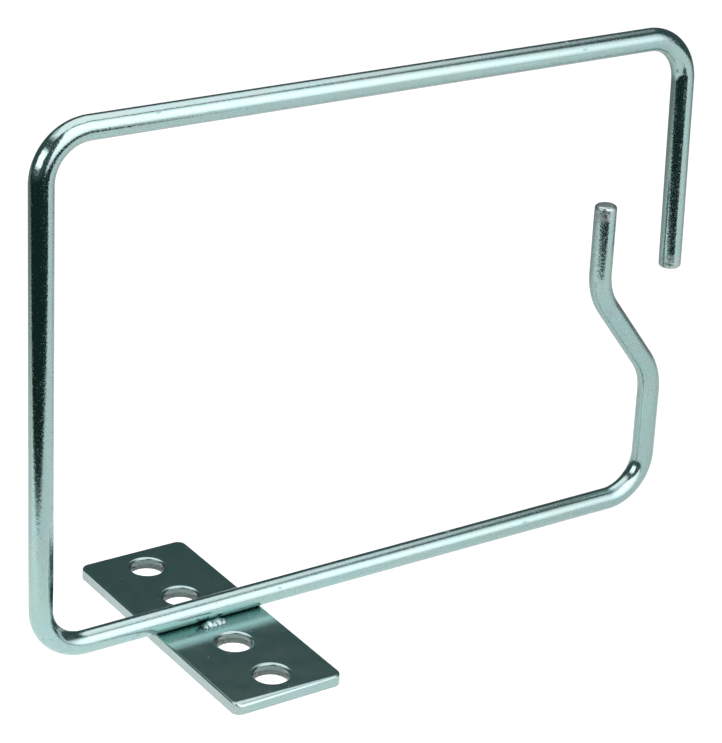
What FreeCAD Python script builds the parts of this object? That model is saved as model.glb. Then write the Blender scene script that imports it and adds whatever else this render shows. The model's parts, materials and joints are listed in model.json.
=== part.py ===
import FreeCAD, Part
import math
import os

# Cable management bar: an open ring of bent wire, welded across a punched mounting plate.
# Sizes are in millimetres and angles in degrees. The origin is the middle of the plate's
# underside. X runs along the ring's width, Y along the plate's length and Z up.

# Wire ring
wire_d = 5.0                # round steel wire
ring_inside_w = 150.0       # clear width of the ring
ring_inside_h = 105.0       # clear height of the ring
corner_bend_r = 10.0        # centre line of the four corner bends
free_leg_length = 53.0      # from the top bar's centre line to the hanging leg's cut end
free_leg_spring = 3.0       # the hanging leg springs forwards, out of the ring's plane, by this angle
low_leg_set_out = 0.6       # the low leg stands this much further out than the hanging leg
low_leg_rise = 30.1         # from the bottom bar's centre line to the first offset bend
low_leg_spring = 1.25       # the low leg and the tip spring backwards by this angle
offset_angle = 37.7         # slope of the offset run against the low leg
offset_bend_r = 14.0        # centre line of the two offset bends
tip_offset = 17.0           # the tip is set in from the low leg by this much, square to it
tip_length = 20.9           # from the second offset bend to the tip's cut end
cut_end_round = 0.8         # rounded edge of the two cut ends

# Mounting plate
plate_w = 25.5
plate_l = 65.5
plate_t = 2.5
plate_corner_r = 2.0        # corners seen from above
plate_edge_roll = 0.45      # upper edge, drawn down as the plate is punched out
plate_edge_break = 0.1      # lower edge, bevelled where its burr was taken off
plate_centre_from_leg = 38.9  # from the left leg's centre line to the plate's middle

# Screw holes
hole_d = 7.5                # clears an M6 screw
hole_rim_draw = 0.35        # upper rim, drawn in by the punch
inner_hole_spacing = 22.0   # between the two holes beside the wire
outer_hole_margin = 7.25    # from a plate end to the middle of the hole near it

# Weld
weld_crown = 1.2            # height of the middle lump above the plate
weld_end_crown = 0.85       # height of the lumps at both ends
weld_lump_r = 1.9           # half width of one lump where it meets the plate
weld_pitch = 1.35           # from one lump to the next
weld_set_out = 0.1          # the lumps' middles stand this far outside the wire's side

# Worked out from the above
vec = FreeCAD.Vector
wire_r = wire_d / 2
bottom_bar_z = plate_t + wire_r
top_bar_z = bottom_bar_z + ring_inside_h + wire_d
left_leg_x = -plate_centre_from_leg
right_leg_x = left_leg_x + ring_inside_w + wire_d
outer_hole_spacing = plate_l - 2 * outer_hole_margin
forwards = math.radians(free_leg_spring)
backwards = math.radians(low_leg_spring)
slope = math.radians(offset_angle)


def ring_corners():
    """Where the straight runs of the ring's centre line would meet, from the hanging leg to the tip."""
    top_right = vec(right_leg_x, 0, top_bar_z)
    hanging_end = top_right + vec(0, -math.sin(forwards), -math.cos(forwards)) * free_leg_length
    top_left = vec(left_leg_x, 0, top_bar_z)
    bottom_left = vec(left_leg_x, 0, bottom_bar_z)
    bottom_right = vec(right_leg_x + low_leg_set_out, 0, bottom_bar_z)
    up_the_leg = vec(0, math.sin(backwards), math.cos(backwards))
    offset_start = bottom_right + up_the_leg * low_leg_rise
    offset_end = offset_start - vec(tip_offset, 0, 0) + up_the_leg * (tip_offset / math.tan(slope))
    tip_end = offset_end + up_the_leg * tip_length
    return [hanging_end, top_right, top_left, bottom_left, bottom_right, offset_start, offset_end, tip_end]


def rounded_path(corners, radii):
    """Straight runs through the corners, joined by a tangent arc at each bend."""
    edges = []
    run_start = corners[0]
    for before, corner, after, radius in zip(corners, corners[1:], corners[2:], radii):
        back = (before - corner).normalize()
        onward = (after - corner).normalize()
        half_angle = back.getAngle(onward) / 2
        to_centre = (back + onward).normalize()
        centre = corner + to_centre * (radius / math.sin(half_angle))
        reach = radius / math.tan(half_angle)
        arc_start = corner + back * reach
        arc_end = corner + onward * reach
        edges.append(Part.LineSegment(run_start, arc_start).toShape())
        edges.append(Part.Arc(arc_start, centre - to_centre * radius, arc_end).toShape())
        run_start = arc_end
    edges.append(Part.LineSegment(run_start, corners[-1]).toShape())
    return Part.Wire(edges)


def make_wire_ring():
    """The wire is bent round a former, springs a little at its free ends and is cropped, with rounded edges."""
    corners = ring_corners()
    path = rounded_path(corners, [corner_bend_r] * 4 + [offset_bend_r] * 2)
    section = Part.Wire(Part.makeCircle(wire_r, corners[0], corners[1] - corners[0]))
    bent = path.makePipeShell([section], True, False)
    cut_edges = []
    for face in bent.Faces:
        if isinstance(face.Surface, Part.Plane):
            cut_edges.extend(face.Edges)
    return bent.makeFillet(cut_end_round, cut_edges)


def hole_positions():
    """Distances of the four holes from the plate's middle, along its length."""
    half_spacings = (inner_hole_spacing / 2, outer_hole_spacing / 2)
    return [side * half for half in half_spacings for side in (-1, 1)]


def edges_at_height(shape, height, round_only):
    """The edges that lie flat at a height: the hole rims, or the plate's outline."""
    found = []
    for edge in shape.Edges:
        box = edge.BoundBox
        flat = abs(box.ZMin - height) < 1e-6 and abs(box.ZMax - height) < 1e-6
        if flat and edge.isClosed() == round_only:
            found.append(edge)
    return found


def make_mounting_plate():
    """Punched out and pierced from above, so every upper edge and rim is drawn down."""
    plate = Part.makeBox(plate_w, plate_l, plate_t, vec(-plate_w / 2, -plate_l / 2, 0))
    upright = [edge for edge in plate.Edges if edge.BoundBox.ZLength > plate_t / 2]
    plate = plate.makeFillet(plate_corner_r, upright)
    for y in hole_positions():
        plate = plate.cut(Part.makeCylinder(hole_d / 2, plate_t, vec(0, y, 0)))
    plate = plate.makeChamfer(hole_rim_draw, edges_at_height(plate, plate_t, True))
    plate = plate.makeChamfer(plate_edge_break, edges_at_height(plate, 0, False))
    return plate.makeFillet(plate_edge_roll, edges_at_height(plate, plate_t, False))


def make_weld(wire_ring):
    """Low lumps of weld on both sides of the wire, filling the corner between it and the plate."""
    lumps = []
    for side in (-1, 1):
        for place, crown in ((-1, weld_end_crown), (0, weld_crown), (1, weld_end_crown)):
            ball_r = (weld_lump_r ** 2 + crown ** 2) / (2 * crown)
            middle = vec(place * weld_pitch, side * (wire_r + weld_set_out), plate_t + crown - ball_r)
            lumps.append(Part.makeSphere(ball_r, middle))
    half_length = weld_pitch + 2 * weld_lump_r
    half_width = wire_r + weld_set_out + 2 * weld_lump_r
    above_plate = Part.makeBox(2 * half_length, 2 * half_width, wire_d, vec(-half_length, -half_width, plate_t))
    return lumps[0].fuse(lumps[1:]).common(above_plate).cut(wire_ring)


wire_ring = make_wire_ring()
os.makedirs("parts", exist_ok=True)
wire_ring.exportStep("parts/wire_ring.step")
make_mounting_plate().exportStep("parts/mounting_plate.step")
make_weld(wire_ring).exportStep("parts/weld.step")
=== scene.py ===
import json
import math

import bmesh
import bpy
from mathutils import Matrix, Vector, noise


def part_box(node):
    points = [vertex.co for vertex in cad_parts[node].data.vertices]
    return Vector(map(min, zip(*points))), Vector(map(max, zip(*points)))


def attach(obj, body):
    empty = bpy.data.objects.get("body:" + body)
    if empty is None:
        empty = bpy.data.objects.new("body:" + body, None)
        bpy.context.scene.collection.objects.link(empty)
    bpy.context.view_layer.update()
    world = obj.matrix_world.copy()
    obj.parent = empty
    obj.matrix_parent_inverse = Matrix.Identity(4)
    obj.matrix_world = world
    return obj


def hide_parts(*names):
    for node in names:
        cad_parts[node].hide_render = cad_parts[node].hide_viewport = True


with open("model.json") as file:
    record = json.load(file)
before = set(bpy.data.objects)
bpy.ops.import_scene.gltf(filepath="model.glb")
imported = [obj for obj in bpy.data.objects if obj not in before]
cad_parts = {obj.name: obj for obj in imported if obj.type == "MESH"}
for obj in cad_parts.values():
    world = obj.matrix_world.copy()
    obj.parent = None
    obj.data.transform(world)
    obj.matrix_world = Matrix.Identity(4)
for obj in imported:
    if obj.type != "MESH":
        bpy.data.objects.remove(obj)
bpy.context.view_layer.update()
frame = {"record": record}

# Mounting plate: punched out of 2.5 mm steel strip, pierced with four screw holes, and bright zinc
# plated with the ring that is welded to it. The punch draws its upper edges down, most of all at
# the front end, where the plate was cropped off.
mm = 0.001
plate_low, plate_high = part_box("mounting_plate")
plate_t = plate_high.z - plate_low.z
plate_corner_r = 2.0 * mm
plate_edge_roll = 0.45 * mm
plate_edge_break = 0.1 * mm
hole_rim_draw = 0.7 * mm          # how far round a hole its rim is drawn down
hole_rim_drop = 0.6               # the rim's drop over that
front_roll_left = (3.4, 2.4)      # the front end's roll over the plain one: its reach and its drop
front_roll_right = (0.8, 0.8)
mounts = frame["record"]["mounts"]
screw_holes = [mount["dims"] for mount in mounts if mount["kind"] == "bolt_pattern"]
hole_r = screw_holes[0]["hole_r_mm"] * mm
hole_places = [side * dims["spacing_y_mm"] / 2 * mm for dims in screw_holes for side in (-1, 1)]
corner_segments = 10
hole_segments = 72
hair = 1.01                       # takes in the points that lie right on a limit


class Shade:
    """One socket of a finish, so that sums of surface patterns are written as plain sums."""

    def __init__(self, tree, socket=None):
        self.tree = tree
        self.socket = socket

    def node(self, kind, settings, sockets, output=0):
        """Adds a node: its settings first, a ramp's stops among them, then its sockets."""
        made = self.tree.nodes.new("ShaderNode" + kind)
        for name, value in settings.items():
            if name == "stops":
                ramp = made.color_ramp.elements
                ramp[0].position, ramp[1].position = value[0][0], value[1][0]
                ramp[0].color, ramp[1].color = ([grey] * 3 + [1] for place, grey in value)
            else:
                setattr(made, name, value)
        for name, value in sockets.items():
            if isinstance(value, Shade):
                self.tree.links.new(value.socket, made.inputs[name])
            else:
                made.inputs[name].default_value = value
        return Shade(self.tree, made.outputs[output] if made.outputs else None)

    def math(self, operation, first, second):
        return self.node("Math", {"operation": operation}, {0: first, 1: second})

    def __add__(self, other):
        return self.math("ADD", self, other)

    def __sub__(self, other):
        return self.math("SUBTRACT", self, other)

    def __rsub__(self, other):
        return self.math("SUBTRACT", other, self)

    def __mul__(self, other):
        return self.math("MULTIPLY", self, other)

    __radd__ = __add__
    __rmul__ = __mul__

    def tinted(self, dark, light):
        """A colour between two others, by this value."""
        return self.node("Mix", {"data_type": "RGBA"}, {0: self, 6: dark, 7: light}, output=2)

    def stretched(self, amounts):
        """A place with each of its directions scaled."""
        return self.node("VectorMath", {"operation": "MULTIPLY"}, {0: self, 1: amounts})

    def patches(self, size, detail):
        """Cloudy patches of about this size, from a place on the surface."""
        return self.node("TexNoise", {}, {"Vector": self, "Scale": 1 / size, "Detail": detail})

    def from_specks(self, spacing):
        """How far a place is from the nearest of many specks, over their spacing."""
        return self.node("TexVoronoi", {}, {"Vector": self, "Scale": 1 / spacing})

    def between(self, low, high):
        """0 below low, 1 above high and even between them."""
        return self.node("ValToRGB", {"stops": [(low, 0), (high, 1)]}, {0: self})

    def along(self, direction):
        """How far a place lies along a direction."""
        dot = {"operation": "DOT_PRODUCT"}
        return self.node("VectorMath", dot, {0: self, 1: direction}, output=1)

    def eased(self, begins, ends):
        """0 before it begins, 1 past its end and eased between them."""
        return self.node("MapRange", {"interpolation_type": "SMOOTHSTEP"},
                         {"Value": self, "From Min": begins, "From Max": ends})


zinc_blue = (0.312, 0.472, 0.470, 1)
zinc_green = (0.320, 0.470, 0.438, 1)
zinc_grey = (0.338, 0.458, 0.440, 1)
pit_grey = (0.16, 0.22, 0.22, 1)
sheared_grey = (0.39, 0.48, 0.465, 1)
# painted shade: the darker grey that the screw holes' walls are tinted
bore_shade_grey = (0.16, 0.215, 0.205, 1)
cloud_size = 17 * mm
film_size = 3.5 * mm
peel_size = 0.8 * mm
grain_size = 0.42 * mm
dull_spot_size = 0.35 * mm
pit_spacing = 2.6 * mm
scuff_spacing = 3.2 * mm
scuff_stretch = (1, 0.6, 0.4)
line_size = 0.28 * mm
line_stretch = (1, 1, 0.012)
relief = 0.01 * mm                # depth of the finish's bumps, of which these are shares
film_relief = 0.6
cut_relief = 1.2
pit_relief = 0.8
film_dulling = 0.10               # what each pattern adds to the roughness
pit_dulling = 0.2
spot_dulling = 0.14
scuff_dulling = 0.3
cut_dulling = 0.24
pit_darkness = 0.7


def bright_zinc(name, place_of, roughness, orange_peel, wear, drawn_lines=0.0):
    """Bright zinc with a blue film: tinted in patches, with orange peel, dull spots and pits.

    Scuffs come with wear, fine lines run along drawn wire, and cut faces are duller.
    """
    finish = bpy.data.materials.new(name)
    finish.use_nodes = True
    tree = finish.node_tree
    tree.nodes.clear()
    place = place_of(Shade(tree))
    cut = place.node("Attribute", {"attribute_name": "cut_face"}, {}, output=2)
    bore_shade = place.node("Attribute", {"attribute_name": "bore_wall"}, {}, output=2)
    clouds = place.patches(cloud_size, detail=3).between(0.38, 0.62)
    film = place.patches(film_size, detail=4)
    peel = place.patches(peel_size, detail=1)
    grain = place.patches(grain_size, detail=1)
    dull_spots = place.patches(dull_spot_size, detail=2).between(0.52, 0.72)
    pits = 1 - place.from_specks(pit_spacing).between(0.03, 0.07)
    scuffs = 1 - place.stretched(scuff_stretch).from_specks(scuff_spacing).between(0.05, 0.10)
    tint = clouds.tinted(zinc_green, zinc_blue)
    tint = film.between(0.45, 0.75).tinted(tint, zinc_grey)
    tint = (pits * pit_darkness).tinted(tint, pit_grey)
    tint = cut.tinted(tint, sheared_grey)
    # the holes' walls are tinted darker: painted shade inside the holes
    tint = bore_shade.tinted(tint, bore_shade_grey)
    height = peel * orange_peel + grain * (cut * cut_relief + wear)
    height = height + film * film_relief - pits * pit_relief
    if drawn_lines:
        lines = place.stretched(line_stretch).patches(line_size, detail=2)
        height = height + lines * drawn_lines
    normal = height.node("Bump", {}, {"Strength": 1.0, "Distance": relief, "Height": height})
    dulled = film * film_dulling + pits * pit_dulling
    worn = dull_spots * spot_dulling + scuffs * scuff_dulling
    evenly = roughness - film_dulling / 2
    metal = height.node("BsdfPrincipled", {}, {
        "Base Color": tint,
        "Metallic": 1.0,
        "Roughness": dulled + worn * wear + cut * cut_dulling + evenly,
        "Normal": normal,
    })
    metal.node("OutputMaterial", {}, {"Surface": metal})
    return finish


def where_it_stands(start):
    """Places on a piece in the object's own frame."""
    return start.node("TexCoord", {}, {}, output=3)


merge_gap = 0.002 * mm


def finished_piece(shape, name, finish):
    """Makes a modelled shape an object at the origin, closed, smooth shaded and finished."""
    bmesh.ops.remove_doubles(shape, verts=shape.verts[:], dist=merge_gap)
    bmesh.ops.recalc_face_normals(shape, faces=shape.faces[:])
    mesh = bpy.data.meshes.new(name)
    shape.to_mesh(mesh)
    shape.free()
    mesh.shade_smooth()
    mesh.materials.append(finish)
    piece = bpy.data.objects.new(name, mesh)
    bpy.context.scene.collection.objects.link(piece)
    return piece


def from_hole(place):
    """How far a place on the plate is from the middle of the nearest hole, seen from above."""
    return min(math.hypot(place.x, place.y - y) for y in hole_places)


plate = bmesh.new()
bmesh.ops.create_grid(plate, x_segments=1, y_segments=1, size=1)
bmesh.ops.scale(plate, vec=(plate_high.x, plate_high.y, 1), verts=plate.verts[:])
bmesh.ops.bevel(plate, geom=plate.verts[:], offset=plate_corner_r, affect="VERTICES",
                segments=corner_segments, profile=0.5, material=-1)
bmesh.ops.delete(plate, geom=plate.faces[:], context="FACES_ONLY")
for y in hole_places:
    bmesh.ops.create_circle(plate, segments=hole_segments, radius=hole_r,
                            matrix=Matrix.Translation((0, y, 0)))
bmesh.ops.triangle_fill(plate, use_beauty=True, edges=plate.edges[:])
raised = bmesh.ops.extrude_face_region(plate, geom=plate.faces[:])["geom"]
upper = [part for part in raised if isinstance(part, bmesh.types.BMVert)]
bmesh.ops.translate(plate, vec=(0, 0, plate_t), verts=upper)
bmesh.ops.recalc_face_normals(plate, faces=plate.faces[:])
level_slack = 0.01 * mm
rim_slack = 1.05                  # over a hole's radius
sharp = 1                         # radian, or more, between the faces at a square edge


def square_edges(height, beside_hole):
    """The plate's square edges at a height: its hole rims, or its outline."""
    found = []
    for edge in plate.edges:
        middle = (edge.verts[0].co + edge.verts[1].co) / 2
        level = all(abs(v.co.z - height) < level_slack for v in edge.verts)
        at_hole = from_hole(middle) < rim_slack * hole_r
        if level and edge.calc_face_angle(0) > sharp and at_hole == beside_hole:
            found.append(edge)
    return found


for height, beside_hole, reach, segments in (
        (plate_t, True, hole_rim_draw, 5),
        (0, False, plate_edge_break, 2),
        (plate_t, False, plate_edge_roll, 8)):
    bmesh.ops.bevel(plate, geom=square_edges(height, beside_hole), offset=reach, affect="EDGES",
                    segments=segments, profile=0.5, material=-1, loop_slide=False)

# The punch draws a hole's rim further in than it pulls it down.
for v in plate.verts:
    from_wall = from_hole(v.co) - hole_r
    if from_wall < hair * hole_rim_draw and v.co.z > plate_t - hair * hole_rim_draw:
        v.co.z = plate_t - (plate_t - v.co.z) * hole_rim_drop

# The front end's roll is drawn wider and deeper than the others, more so towards its left corner.
for v in plate.verts:
    end = math.copysign(1, v.co.x)
    corner = Vector((end * (plate_high.x - plate_corner_r), plate_low.y + plate_corner_r))
    beyond = Vector((max(0, (v.co.x - corner.x) * end), max(0, corner.y - v.co.y)))
    inset = plate_corner_r - beyond.length
    in_the_roll = inset < plate_edge_roll * hair and v.co.z > plate_t - plate_edge_roll * hair
    if beyond.y > 0 and in_the_roll:
        towards_right = (v.co.x - plate_low.x) / (plate_high.x - plate_low.x)
        facing_front = (beyond.y / beyond.length) ** 2
        reach, drop = (1 + facing_front * (left + (right - left) * towards_right - 1)
                       for left, right in zip(front_roll_left, front_roll_right))
        v.co.y += inset * (reach - 1) * beyond.y / beyond.length
        v.co.z = plate_t - (plate_t - v.co.z) * drop

# The punch shears the outline, which stays duller than the faces, and the holes' walls are
# tinted darker as painted shade inside the holes. The cropped front end is the smoothest cut.
front_dullness = 0.2
below_roll = plate_t - 0.9 * plate_edge_roll
front_face = plate_low.y + 0.1 * plate_corner_r
sheared = plate.verts.layers.float.new("cut_face")
bore_shade = plate.verts.layers.float.new("bore_wall")
for v in plate.verts:
    if from_hole(v.co) < hair * hole_r:
        v[bore_shade] = 1.0
    elif v.co.z < below_roll:
        v[sheared] = front_dullness if v.co.y < front_face else 1.0

plate_zinc = bright_zinc("plate_zinc", where_it_stands, roughness=0.165, orange_peel=0.5, wear=0.2)
plate_piece = finished_piece(plate, "zinc_plate", plate_zinc)
plate_piece.modifiers.new("flat_faces", "WEIGHTED_NORMAL")
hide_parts("mounting_plate")
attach(plate_piece, "root")

# Wire ring: a single length of 5 mm drawn steel wire, cropped at both ends, bent round a former,
# which leaves press marks beside the bends, and laid across the plate. Its free ends spring out of
# the ring's plane.
wire_low, wire_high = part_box("wire_ring")
wire_r = 2.495 * mm               # a hair under the solid's, so that the wire stays inside it
ring_w = 155 * mm                 # between the legs' centre lines
free_leg_length = 53 * mm
free_leg_spring = math.radians(3)
low_leg_set_out = 0.6 * mm
low_leg_rise = 30.1 * mm
low_leg_spring = math.radians(1.25)
offset_slope = math.radians(37.7)
tip_offset = 17 * mm
tip_length = 20.9 * mm
corner_bend_r = 10 * mm
offset_bend_r = 14 * mm
cut_end_round = 0.8 * mm
left_leg_x = wire_low.x + wire_r
top_bar_z = wire_high.z - wire_r
bottom_bar_z = wire_low.z + wire_r
up_the_low_leg = Vector((0, math.sin(low_leg_spring), math.cos(low_leg_spring)))
up_the_free_leg = Vector((0, math.sin(free_leg_spring), math.cos(free_leg_spring)))
top_right = Vector((left_leg_x + ring_w, 0, top_bar_z))
bottom_right = Vector((left_leg_x + ring_w + low_leg_set_out, 0, bottom_bar_z))
offset_start = bottom_right + up_the_low_leg * low_leg_rise
offset_rise = tip_offset / math.tan(offset_slope)
offset_end = offset_start - Vector((tip_offset, 0, 0)) + up_the_low_leg * offset_rise
# Where the straight runs of the centre line would meet, from the hanging leg's end to the tip's.
corners = [
    top_right - up_the_free_leg * free_leg_length,
    top_right,
    Vector((left_leg_x, 0, top_bar_z)),
    Vector((left_leg_x, 0, bottom_bar_z)),
    bottom_right,
    offset_start,
    offset_end,
    offset_end + up_the_low_leg * tip_length,
]
bend_radii = [corner_bend_r] * 4 + [offset_bend_r] * 2
ring_sides = 64
straight_step = 1.5 * mm
fine_step = 0.35 * mm             # in the bends, and on the runs where they were pressed or cropped
fine_reach = 5 * mm
step_slack = 0.001                # keeps a run of whole steps from being given one more
round_step = 15                   # degrees, round the edge of a cut end

wire = bmesh.new()
unbent = wire.verts.layers.float_vector.new("unbent_place")
cropped = wire.verts.layers.float.new("cut_face")
square_to_leg = Matrix.Translation(corners[0]) @ Matrix.Rotation(-free_leg_spring, 4, "X")
open_end = bmesh.ops.create_circle(wire, cap_ends=True, segments=ring_sides,
                                   radius=wire_r - cut_end_round, matrix=square_to_leg)["verts"]
for v in open_end:
    v[unbent] = square_to_leg.inverted() @ v.co
drawn = 0.0                       # length of wire so far


def ring_at(verts):
    """The open end's vertices with the edges that join them."""
    joins = {edge for v in verts for edge in v.link_edges if edge.other_vert(v) in verts}
    return list(verts) + list(joins)


def carry_on(verts, advance, axis=None, centre=None, hinge=None, turn=0.0, swell=0.0):
    """Grows the open end by one ring: straight on or round a bend's centre, and wider by swell."""
    global drawn
    drawn += advance
    if turn:
        grown = bmesh.ops.spin(wire, geom=ring_at(verts), cent=centre, axis=hinge, angle=turn,
                               steps=1)["geom_last"]
    else:
        edges = [part for part in ring_at(verts) if isinstance(part, bmesh.types.BMEdge)]
        grown = bmesh.ops.extrude_edge_only(wire, edges=edges)["geom"]
    verts = [part for part in grown if isinstance(part, bmesh.types.BMVert)]
    if not turn:
        bmesh.ops.translate(wire, vec=axis * advance, verts=verts)
    if swell:
        middle = sum((v.co for v in verts), Vector()) / len(verts)
        for v in verts:
            v.co += (v.co - middle).normalized() * swell
    for v in verts:
        around = v[unbent].to_2d()
        v[unbent] = (around * (1 + swell / around.length)).to_3d() + Vector((0, 0, drawn))
    return verts


def rounded_end(verts, axis, opening):
    """The rounded edge of a cut end, from its flat face outwards, or towards it at the tip."""
    steps = [math.radians(angle) for angle in range(0, 91, round_step)]
    profile = [(1 - math.cos(angle), math.sin(angle)) for angle in steps]
    if not opening:
        profile = [(1 - along, across) for along, across in reversed(profile)]
    for (along, across), (next_along, next_across) in zip(profile, profile[1:]):
        verts = carry_on(verts, (next_along - along) * cut_end_round, axis,
                         swell=(next_across - across) * cut_end_round)
    return verts


taken = cut_end_round
last = len(corners) - 2
for number, (start, corner) in enumerate(zip(corners, corners[1:])):
    axis = (corner - start).normalized()
    left_over = cut_end_round
    if number == 0:
        open_end = rounded_end(open_end, axis, True)
    if number < last:
        onward = (corners[number + 2] - corner).normalized()
        turn = axis.angle(onward)
        left_over = bend_radii[number] * math.tan(turn / 2)
    straight = (corner - start).length - taken - left_over
    fine = min(fine_reach, straight / 2)
    plain = straight - 2 * fine
    for stretch, step in ((fine, fine_step), (plain, straight_step), (fine, fine_step)):
        steps = math.ceil(stretch / step - step_slack)
        for _ in range(steps):
            open_end = carry_on(open_end, stretch / steps, axis)
    if number == last:
        open_end = rounded_end(open_end, axis, False)
        break
    inwards = (onward - axis * axis.dot(onward)).normalized()
    middle = sum((v.co for v in open_end), Vector()) / ring_sides
    centre = middle + inwards * bend_radii[number]
    steps = round(bend_radii[number] * turn / fine_step)
    for _ in range(steps):
        open_end = carry_on(open_end, bend_radii[number] * turn / steps, centre=centre,
                            hinge=axis.cross(onward), turn=turn / steps)
    taken = left_over
bmesh.ops.contextual_create(wire, geom=ring_at(open_end))
bmesh.ops.recalc_face_normals(wire, faces=wire.faces[:])
wire.normal_update()
wire_length = drawn

# Cropping dulls the wire's ends and bruises them, in small flats and hollows that fade out along
# the wire. The former and its clamp leave shallow marks beside the bends.
cropped_reach = 4 * mm
cropped_bruise = 0.03 * mm
bruised_below = 0.5               # what stands higher than this stays round
bruise_steepness = 2
dull_steepness = 2.5
least_dull = 0.3
mean_dull = 0.8
hollow_size = 0.7 * mm
fine_hollow_size = 0.3 * mm
fine_hollow_share = 0.5
flat_end_r = wire_r - 0.9 * cut_end_round
jaw_flat = 0.03 * mm              # how deep the shears' jaws squeeze the wire at its very end
jaw_side = math.radians(-60)
# Each mark's place along the wire, the side it is on, its half length, half width and depth.
press_marks = [
    (44.6 * mm, math.radians(-100), 0.35 * mm, math.radians(75), 0.035 * mm),
    (49.5 * mm, math.radians(-160), 0.40 * mm, math.radians(30), 0.050 * mm),
    (195.3 * mm, math.radians(-15), 0.50 * mm, math.radians(28), 0.080 * mm),
    (301.0 * mm, math.radians(-70), 0.40 * mm, math.radians(40), 0.025 * mm),
]
for v in wire.verts:
    along = v[unbent].z
    side = math.atan2(v[unbent].y, v[unbent].x)
    from_end = min(along, wire_length - along)
    dent = 0.0
    if from_end < cropped_reach:
        fade = 1 - from_end / cropped_reach
        hollows = noise.noise(v[unbent] / hollow_size)
        hollows += fine_hollow_share * noise.noise(v[unbent] / fine_hollow_size)
        dent += max(0, bruised_below - hollows) * cropped_bruise * min(1, bruise_steepness * fade)
        dent += jaw_flat * fade ** 2 * math.cos(side - jaw_side) ** 2
        dullness = min(1, max(least_dull, mean_dull + hollows))
        v[cropped] = min(1, dull_steepness * fade) * dullness
    if v[unbent].to_2d().length < flat_end_r:
        v[cropped] = 1.0
    for place, facing, half_length, half_width, depth in press_marks:
        off_side = math.remainder(side - facing, math.tau) / half_width
        dent += depth * math.exp(-((along - place) / half_length) ** 2 - off_side ** 2)
    v.co -= v.normal * dent


def where_it_was_drawn(start):
    """Places on the wire before it was bent, so that its drawn lines follow it."""
    return start.node("Attribute", {"attribute_name": "unbent_place"}, {}, output=1)


wire_zinc = bright_zinc("wire_zinc", where_it_was_drawn, roughness=0.12, orange_peel=1.2,
                        wear=1.35, drawn_lines=0.4)
wire_piece = finished_piece(wire, "zinc_wire", wire_zinc)
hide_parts("wire_ring")
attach(wire_piece, "root")

# Weld: two short runs of arc weld steel, which fix the wire in the corners between it and the
# plate. They are left as they set, in small lumps, and plated over with the rest.
weld_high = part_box("weld")[1]
weld_top = weld_high.z - plate_t
lump_out = weld_high.y - wire_r
# Each lump's place along the weld, how far out of the wire's side it sits, and its half length,
# half width and height, all as shares of the weld's own.
weld_lumps = [
    (0.00, 0.05, 0.95, 0.56, 0.74),
    (-0.68, 0.42, 0.25, 0.42, 0.62),
    (-0.36, 0.16, 0.36, 0.60, 0.90),
    (-0.02, 0.36, 0.30, 0.46, 0.70),
    (0.30, 0.12, 0.38, 0.62, 0.92),
    (0.62, 0.30, 0.27, 0.42, 0.64),
]
ripples = ((1.1 * mm, 0.12), (0.4 * mm, 0.06))      # each one's size, and its height in mm
sunk = 0.05 * mm                  # how far the lumps reach into the plate
weld = bmesh.new()
for side in (-1, 1):
    for along, out, half_length, half_width, height in weld_lumps:
        middle = Vector((along * weld_high.x * -side, side * (wire_r + out * lump_out), plate_t))
        stretch = Matrix.Diagonal((half_length * weld_high.x, half_width * lump_out,
                                   height * weld_top, 1))
        bmesh.ops.create_icosphere(weld, subdivisions=4, radius=1,
                                   matrix=Matrix.Translation(middle) @ stretch)
for v in weld.verts:
    swell = sum(noise.noise(v.co / size) * height for size, height in ripples)
    v.co += v.normal * swell * mm
    v.co.z = max(v.co.z, plate_t - sunk)
weld_zinc = bright_zinc("weld_zinc", where_it_stands, roughness=0.36, orange_peel=0.9, wear=0.6)
weld_piece = finished_piece(weld, "zinc_weld", weld_zinc)
run_together = weld_piece.modifiers.new("run_together", "REMESH")
run_together.mode = "VOXEL"
run_together.voxel_size = 0.09 * mm
run_together.use_smooth_shade = True
set_round = weld_piece.modifiers.new("set_round", "SMOOTH")
set_round.iterations = 12
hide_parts("weld")
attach(weld_piece, "root")

# Floor and studio: white paper on a dark table, in a dim room with three softboxes, as bright metal
# is photographed. The paper shows to the camera and in the metal alike, while the rest of the
# studio is only seen mirrored in the metal.
white = (1, 1, 1, 1)
paper_white = (0.9, 0.9, 0.9, 1)


def stage_sheet(name, shape, only_mirrored):
    """A flat or curved sheet of the studio, not part of the object, with an empty material."""
    mesh = bpy.data.meshes.new(name)
    shape.to_mesh(mesh)
    shape.free()
    sheet = bpy.data.objects.new(name, mesh)
    bpy.context.scene.collection.objects.link(sheet)
    sheet.visible_camera = not only_mirrored
    sheet.visible_shadow = not only_mirrored
    surface = bpy.data.materials.new(name + "_surface")
    surface.use_nodes = True
    surface.node_tree.nodes.clear()
    mesh.materials.append(surface)
    return sheet, Shade(surface.node_tree)


def level_square(reach, drop):
    """The shape of a square sheet that lies level, a little under the plate's underside."""
    shape = bmesh.new()
    bmesh.ops.create_grid(shape, x_segments=1, y_segments=1, size=reach,
                          matrix=Matrix.Translation((0, 0, -drop)))
    return shape


def seen_as_background(start):
    """1 where the camera, a mirror or a glass looks, and 0 where light only bounces."""
    looks = [start.node("LightPath", {}, {}, output=number) for number in (0, 3, 6)]
    return looks[0].math("MAXIMUM", looks[0], looks[1].math("MAXIMUM", looks[1], looks[2]))


floor_reach = 6.0
floor_drop = 0.04 * mm
paper_glow = 1.13
glow_share = 0.84
_, start = stage_sheet("floor", level_square(floor_reach, floor_drop), only_mirrored=False)
paint = start.node("BsdfDiffuse", {}, {"Color": paper_white})
glow = start.node("Emission", {}, {"Color": white, "Strength": paper_glow})
seen = seen_as_background(start)
both = start.node("MixShader", {}, {0: seen * glow_share, 1: paint, 2: glow})
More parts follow.
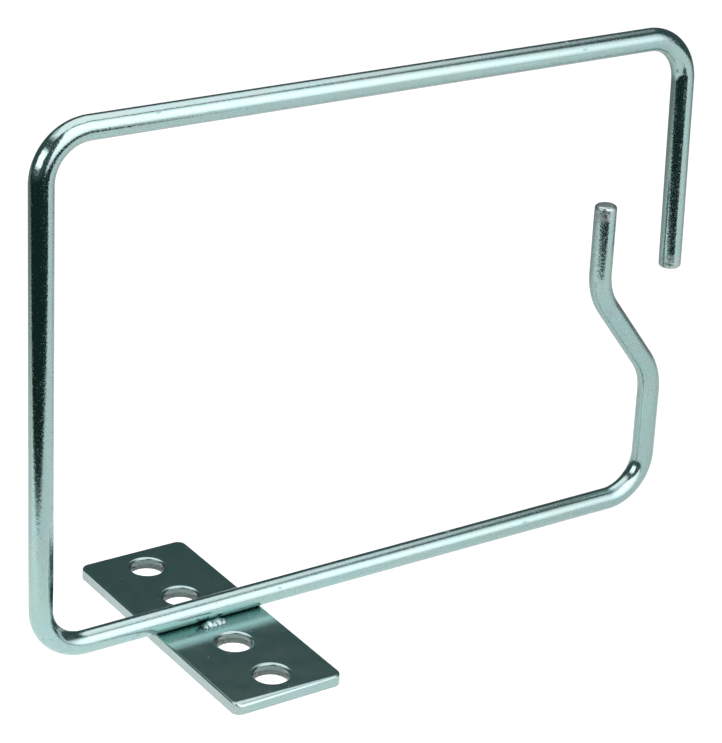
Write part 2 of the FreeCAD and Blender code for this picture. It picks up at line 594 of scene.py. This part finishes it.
# A painted pool of light: the paper glows brighter along the wire's foot, as if the bright wire
# threw light back on it, most of all near the left leg.
thrown_back_glow = 1.9
thrown_back_share = 0.36
from_ring = (0.06, 0.01)          # from no light to the most, off the ring's plane
along_ring = (0.16, -0.06)        # and along it
place = where_it_stands(start)
off_plane = place.along((0, 1, 0))
beside_ring = off_plane.math("ABSOLUTE", off_plane, 0).eased(*from_ring)
towards_left = place.along((1, 0, 0)).eased(*along_ring)
painted_thrown_back_light = start.node("Emission", {}, {"Color": white, "Strength": thrown_back_glow})
by_ring = seen * beside_ring * towards_left * thrown_back_share
lit = start.node("MixShader", {}, {0: by_ring, 1: both, 2: painted_thrown_back_light})
lit.node("OutputMaterial", {}, {"Surface": lit})


def mirrored_sheet(name, shape, colour, fades, strength=1.0):
    """A sheet that only the metal mirrors, fading in along some directions over its own face."""
    sheet, start = stage_sheet(name, shape, only_mirrored=True)
    look = start.node("Emission", {}, {"Color": colour, "Strength": strength})
    place = where_it_stands(start)
    share = 1.0
    for direction, begins, ends in fades:
        share = share * place.along((*direction, 0)).eased(begins, ends)
    if fades:
        clear = start.node("BsdfTransparent", {}, {})
        look = start.node("MixShader", {}, {0: share, 1: clear, 2: look})
    look.node("OutputMaterial", {}, {"Surface": look})
    return sheet


# The paper ends at the dark table on the camera's side, where the camera's stand is dark too, and
# towards the back it lies in shade. Each of these sheets has a name, how far it lies under the
# plate's underside, a colour, and the directions and distances over which it fades in.
sheet_reach = 1.38
table_edge = (-0.81, -0.59)
stand_edge = (-0.42, -0.906)
stand_side = (-0.96, -0.28)
to_back_right = (0.45, 0.89)
to_back_left = (-0.6, 0.8)
table_black = (0.018, 0.030, 0.024, 1)
stand_black = (0.012, 0.034, 0.030, 1)
shade_grey = (0.30, 0.30, 0.29, 1)
far_shade_grey = (0.25, 0.25, 0.24, 1)
for name, drop, colour, fades in (
        ("dark_table", 0.02 * mm, table_black, [(table_edge, 0.097, 0.117)]),
        ("dark_stand", 0.01 * mm, stand_black, [(stand_edge, 0.118, 0.138),
                                                (stand_side, -0.075, -0.045)]),
        ("paper_in_shade", 0.03 * mm, shade_grey, [(to_back_right, -0.06, 0.33)]),
        ("paper_in_far_shade", 0.035 * mm, far_shade_grey, [(to_back_left, 0.08, 0.32)])):
    sheet = mirrored_sheet(name, level_square(sheet_reach, drop), colour, fades)
    sheet.visible_diffuse = False

# The room is a round wall with a ceiling.
room_r = 1.4
room_h = 1.75
room_sides = 48
room_dim = (0.073, 0.116, 0.114, 1)
room = bmesh.new()
profile = ((room_r, 0, 0), (room_r, 0, room_h), (0, 0, room_h))
outline = [room.verts.new(place) for place in profile]
lines = [room.edges.new(ends) for ends in zip(outline, outline[1:])]
bmesh.ops.spin(room, geom=outline + lines, cent=(0, 0, 0), axis=(0, 0, 1), angle=math.tau,
               steps=room_sides, use_merge=True)
bmesh.ops.remove_doubles(room, verts=room.verts[:], dist=mm)
walls = mirrored_sheet("dim_room", room, room_dim, [])
walls.visible_diffuse = False

lamp_white = (1.0, 0.887, 0.92, 1)


def softbox(name, middle, across, upwards, brightness, fades):
    """A flat light, half its width and height given as directions, that fades at its edges."""
    shape = bmesh.new()
    bmesh.ops.create_grid(shape, x_segments=1, y_segments=1, size=1)
    panel = mirrored_sheet(name, shape, lamp_white, fades, brightness)
    across, upwards = Vector(across), Vector(upwards)
    turned = Matrix((across, upwards, across.cross(upwards).normalized())).transposed()
    panel.matrix_world = Matrix.Translation(middle) @ turned.to_4x4()


softbox("key_softbox", middle=(0.29, -0.445, 0.355), across=(0.51, 0, 0), upwards=(0, 0.29, 0.37),
        brightness=2.95, fades=[((-1, 0), -2.23, -0.15), ((1, 0), -1, -0.85),
                                ((-1.16, -1), -2.26, 0.30), ((0, -1), -1, -0.58),
                                ((0, 1), -2.17, 0.17)])
softbox("overhead_softbox", middle=(0.21, 0.45, 0.725), across=(0.75, 0, 0), upwards=(0, 0.60, 0),
        brightness=2.00, fades=[((-0.640, 0.312), -0.586, -0.336), ((-1.154, 0), -1.054, -0.154),
                                ((1, 0), -1, -0.7), ((0, -1), -0.68, -0.1)])
softbox("side_softbox", middle=(-0.683, -0.06, 0.385), across=(0, -0.40, 0),
        upwards=(0.08, 0, 0.183), brightness=3.0,
        fades=[((1, 0), -1, -0.8), ((-1, 0), -1, -0.8), ((0, 1), -1, -0.7), ((0, -1), -1, -0.7)])

# Beyond the studio all is white to the camera, and lights the paper only dimly.
fill_level = 0.25
world = bpy.data.worlds.new("studio")
bpy.context.scene.world = world
world.use_nodes = True
world.node_tree.nodes.clear()
start = Shade(world.node_tree)
brightness = seen_as_background(start) * (1 - fill_level) + fill_level
sky = start.node("Background", {}, {"Color": white, "Strength": brightness})
sky.node("OutputWorld", {}, {"Surface": sky})

# Camera: it stands where the photograph was taken from, with its long lens, and is turned a little
# about its own axis.
view_azimuth = math.radians(-35.134)
view_elevation = math.radians(24.131)
view_roll = math.radians(-3.268)
view_distance = 536.0 * mm
looks_at = Vector((36.1, 0, 52.0)) * mm
image_height = 743
focal_pixels = 2564.2
framing_offset = (-1.366, -1.024)

camera_data = bpy.data.cameras.new("camera")
camera = bpy.data.objects.new("camera", camera_data)
bpy.context.scene.collection.objects.link(camera)
bpy.context.scene.camera = camera
back = Vector((math.sin(view_azimuth) * math.cos(view_elevation),
               -math.cos(view_azimuth) * math.cos(view_elevation), math.sin(view_elevation)))
tilt = math.pi / 2 - view_elevation
unrolled = Matrix.Rotation(view_azimuth, 3, "Z") @ Matrix.Rotation(tilt, 3, "X")
rolled = unrolled @ Matrix.Rotation(-view_roll, 3, "Z")
camera.matrix_world = Matrix.Translation(looks_at + back * view_distance) @ rolled.to_4x4()
camera_data.sensor_width = 36
camera_data.lens = focal_pixels / image_height * camera_data.sensor_width
camera_data.shift_x, camera_data.shift_y = (offset / image_height for offset in framing_offset)
camera_data.clip_start, camera_data.clip_end = 0.01, 100

bpy.context.scene.view_settings.view_transform = "Standard"
